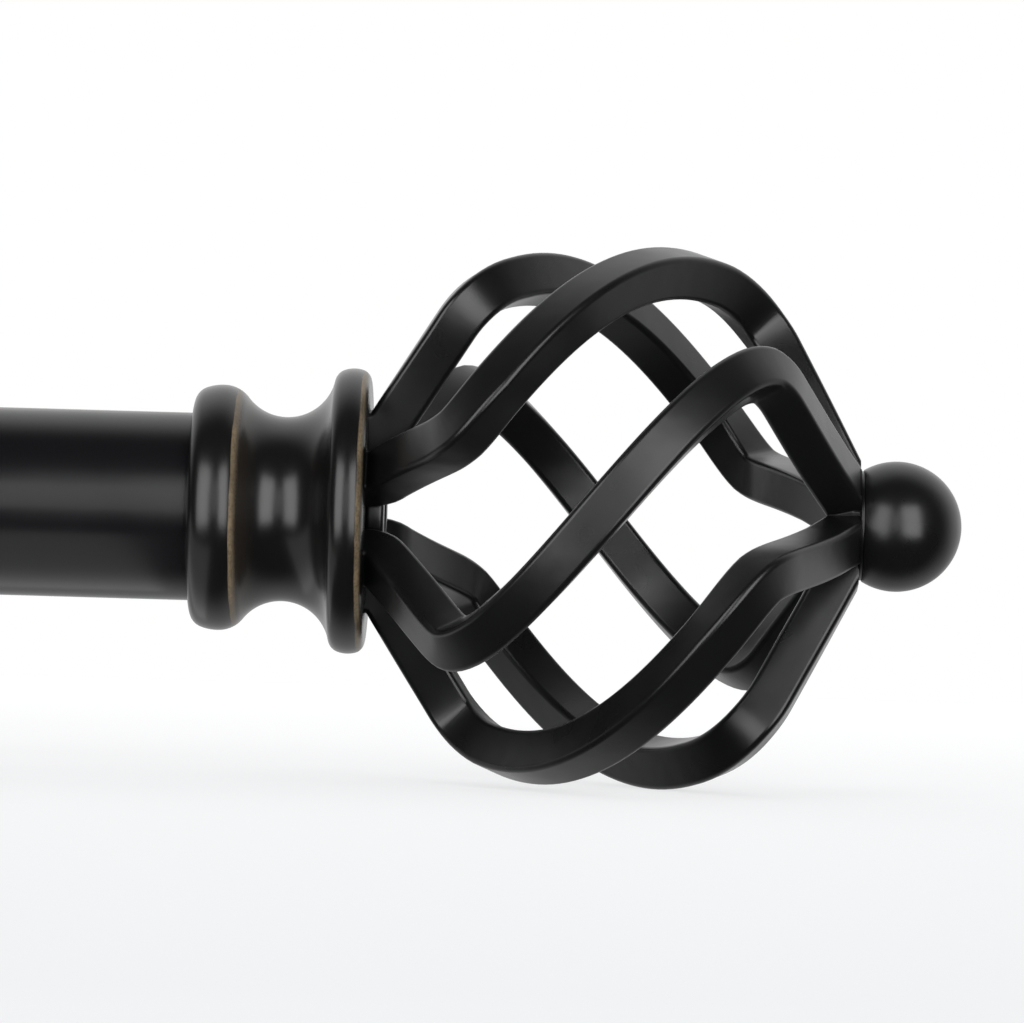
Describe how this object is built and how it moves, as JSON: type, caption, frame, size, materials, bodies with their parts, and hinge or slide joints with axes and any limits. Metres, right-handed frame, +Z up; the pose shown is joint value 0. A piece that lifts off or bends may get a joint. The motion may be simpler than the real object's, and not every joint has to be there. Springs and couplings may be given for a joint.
{
  "type": "curtain rod with brackets",
  "caption": "Telescoping round curtain rod with twisted-basket finials on turned collars, carried by two adjustable wall brackets.",
  "frame": {"origin": "on the rod's axis, midway between the two collars' inner faces with the rod closed", "axes": "+X along the rod to the right-hand finial as seen from the room, +Y to the wall, +Z up"},
  "size_m": [0.919, 0.1516, 0.0734],
  "materials": {
    "rod_black": "satin black powder coat",
    "finial_black": "satin black paint",
    "collar_black": "semi-gloss black, edges rubbed to bronze",
    "bracket_black": "satin black powder coat",
    "black_steel": "black",
    "zinc_steel": "zinc plated",
    "brass_insert": "turned",
    "black_plastic": "moulded"
  },
  "bodies": {
    "wall_side": {"wall_plate_left": "bracket_black", "sleeve_left": "bracket_black", "wall_screw_upper_left": "black_steel", "wall_screw_lower_left": "black_steel", "wall_plate_right": "bracket_black", "sleeve_right": "bracket_black", "wall_screw_upper_right": "black_steel", "wall_screw_lower_right": "black_steel"},
    "arm_left": {"arm_left": "bracket_black", "cradle_left": "bracket_black"},
    "arm_right": {"arm_right": "bracket_black", "cradle_right": "bracket_black"},
    "rod": {"outer_tube": "rod_black", "mouth_bush": "black_plastic", "plug_right": "black_plastic", "insert_right": "brass_insert"},
    "inner_rod": {"inner_tube": "rod_black", "inner_glide": "black_plastic", "plug_left": "black_plastic", "insert_left": "brass_insert", "spacer_ring": "black_plastic"},
    "finial_stud_right": {"stud_right": "zinc_steel"},
    "finial_right": {"collar_right": "collar_black", "washer_right": "zinc_steel", "nut_right": "zinc_steel", "hub_disc_right": "finial_black", "cage_bar_1_right": "finial_black", "cage_bar_2_right": "finial_black", "cage_bar_3_right": "finial_black", "cage_bar_4_right": "finial_black", "cage_bar_5_right": "finial_black", "cage_bar_6_right": "finial_black", "ball_neck_right": "finial_black", "ball_right": "finial_black"},
    "finial_stud_left": {"stud_left": "zinc_steel"},
    "finial_left": {"collar_left": "collar_black", "washer_left": "zinc_steel", "nut_left": "zinc_steel", "hub_disc_left": "finial_black", "cage_bar_1_left": "finial_black", "cage_bar_2_left": "finial_black", "cage_bar_3_left": "finial_black", "cage_bar_4_left": "finial_black", "cage_bar_5_left": "finial_black", "cage_bar_6_left": "finial_black", "ball_neck_left": "finial_black", "ball_left": "finial_black"},
    "rod_lock_left_stud": {"rod_lock_left_stud": "black_steel"},
    "rod_lock_left_knob": {"rod_lock_left_knob": "black_steel"},
    "rod_lock_right_stud": {"rod_lock_right_stud": "black_steel"},
    "rod_lock_right_knob": {"rod_lock_right_knob": "black_steel"},
    "arm_lock_left_stud": {"arm_lock_left_stud": "black_steel"},
    "arm_lock_left_knob": {"arm_lock_left_knob": "black_steel"},
    "arm_lock_right_stud": {"arm_lock_right_stud": "black_steel"},
    "arm_lock_right_knob": {"arm_lock_right_knob": "black_steel"}
  },
  "joints": [
    {"name": "projection_left", "type": "slide", "parent": "wall_side", "child": "arm_left", "axis": [0, -1, 0], "range_m": [0, 0.038]},
    {"name": "projection_right", "type": "slide", "parent": "wall_side", "child": "arm_right", "axis": [0, -1, 0], "range_m": [0, 0.038]},
    {"name": "rod_lift", "type": "slide", "parent": "arm_left", "child": "rod", "axis": [0, 0, 1], "range_m": [0, 0.035]},
    {"name": "rod_telescope", "type": "slide", "parent": "rod", "child": "inner_rod", "axis": [-1, 0, 0], "range_m": [0, 0.508]},
    {"name": "finial_right_feed", "type": "slide", "parent": "rod", "child": "finial_stud_right", "axis": [1, 0, 0], "range_m": [0, 0.01125]},
    {"name": "finial_right_turn", "type": "hinge", "parent": "finial_stud_right", "child": "finial_right", "pos_m": [0.3556, 0, 0], "axis": [-1, 0, 0], "range_deg": [0, 3240]},
    {"name": "finial_left_feed", "type": "slide", "parent": "inner_rod", "child": "finial_stud_left", "axis": [-1, 0, 0], "range_m": [0, 0.01125]},
    {"name": "finial_left_turn", "type": "hinge", "parent": "finial_stud_left", "child": "finial_left", "pos_m": [-0.3556, 0, 0], "axis": [1, 0, 0], "range_deg": [0, 3240]},
    {"name": "rod_lock_left_feed", "type": "slide", "parent": "arm_left", "child": "rod_lock_left_stud", "axis": [0, 0, -1], "range_m": [0, 0.0035]},
    {"name": "rod_lock_left_turn", "type": "hinge", "parent": "rod_lock_left_stud", "child": "rod_lock_left_knob", "pos_m": [-0.2556, 0, -0.013], "axis": [0, 0, 1], "range_deg": [0, 1800]},
    {"name": "rod_lock_right_feed", "type": "slide", "parent": "arm_right", "child": "rod_lock_right_stud", "axis": [0, 0, -1], "range_m": [0, 0.0035]},
    {"name": "rod_lock_right_turn", "type": "hinge", "parent": "rod_lock_right_stud", "child": "rod_lock_right_knob", "pos_m": [0.2556, 0, -0.013], "axis": [0, 0, 1], "range_deg": [0, 1800]},
    {"name": "arm_lock_left_feed", "type": "slide", "parent": "wall_side", "child": "arm_lock_left_stud", "axis": [0, 0, -1], "range_m": [0, 0.0035]},
    {"name": "arm_lock_left_turn", "type": "hinge", "parent": "arm_lock_left_stud", "child": "arm_lock_left_knob", "pos_m": [-0.2556, 0.036, -0.0063], "axis": [0, 0, 1], "range_deg": [0, 1800]},
    {"name": "arm_lock_right_feed", "type": "slide", "parent": "wall_side", "child": "arm_lock_right_stud", "axis": [0, 0, -1], "range_m": [0, 0.0035]},
    {"name": "arm_lock_right_turn", "type": "hinge", "parent": "arm_lock_right_stud", "child": "arm_lock_right_knob", "pos_m": [0.2556, 0.036, -0.0063], "axis": [0, 0, 1], "range_deg": [0, 1800]}
  ],
  "couplings": [
    {"joint": "projection_right", "follows": "projection_left", "ratio": 1},
    {"joint": "finial_right_feed", "follows": "finial_right_turn", "m_per_rad": 0.00019894},
    {"joint": "finial_left_feed", "follows": "finial_left_turn", "m_per_rad": 0.00019894},
    {"joint": "rod_lock_left_feed", "follows": "rod_lock_left_turn", "m_per_rad": 0.00011141},
    {"joint": "rod_lock_right_feed", "follows": "rod_lock_right_turn", "m_per_rad": 0.00011141},
    {"joint": "arm_lock_left_feed", "follows": "arm_lock_left_turn", "m_per_rad": 0.00011141},
    {"joint": "arm_lock_right_feed", "follows": "arm_lock_right_turn", "m_per_rad": 0.00011141}
  ]
}
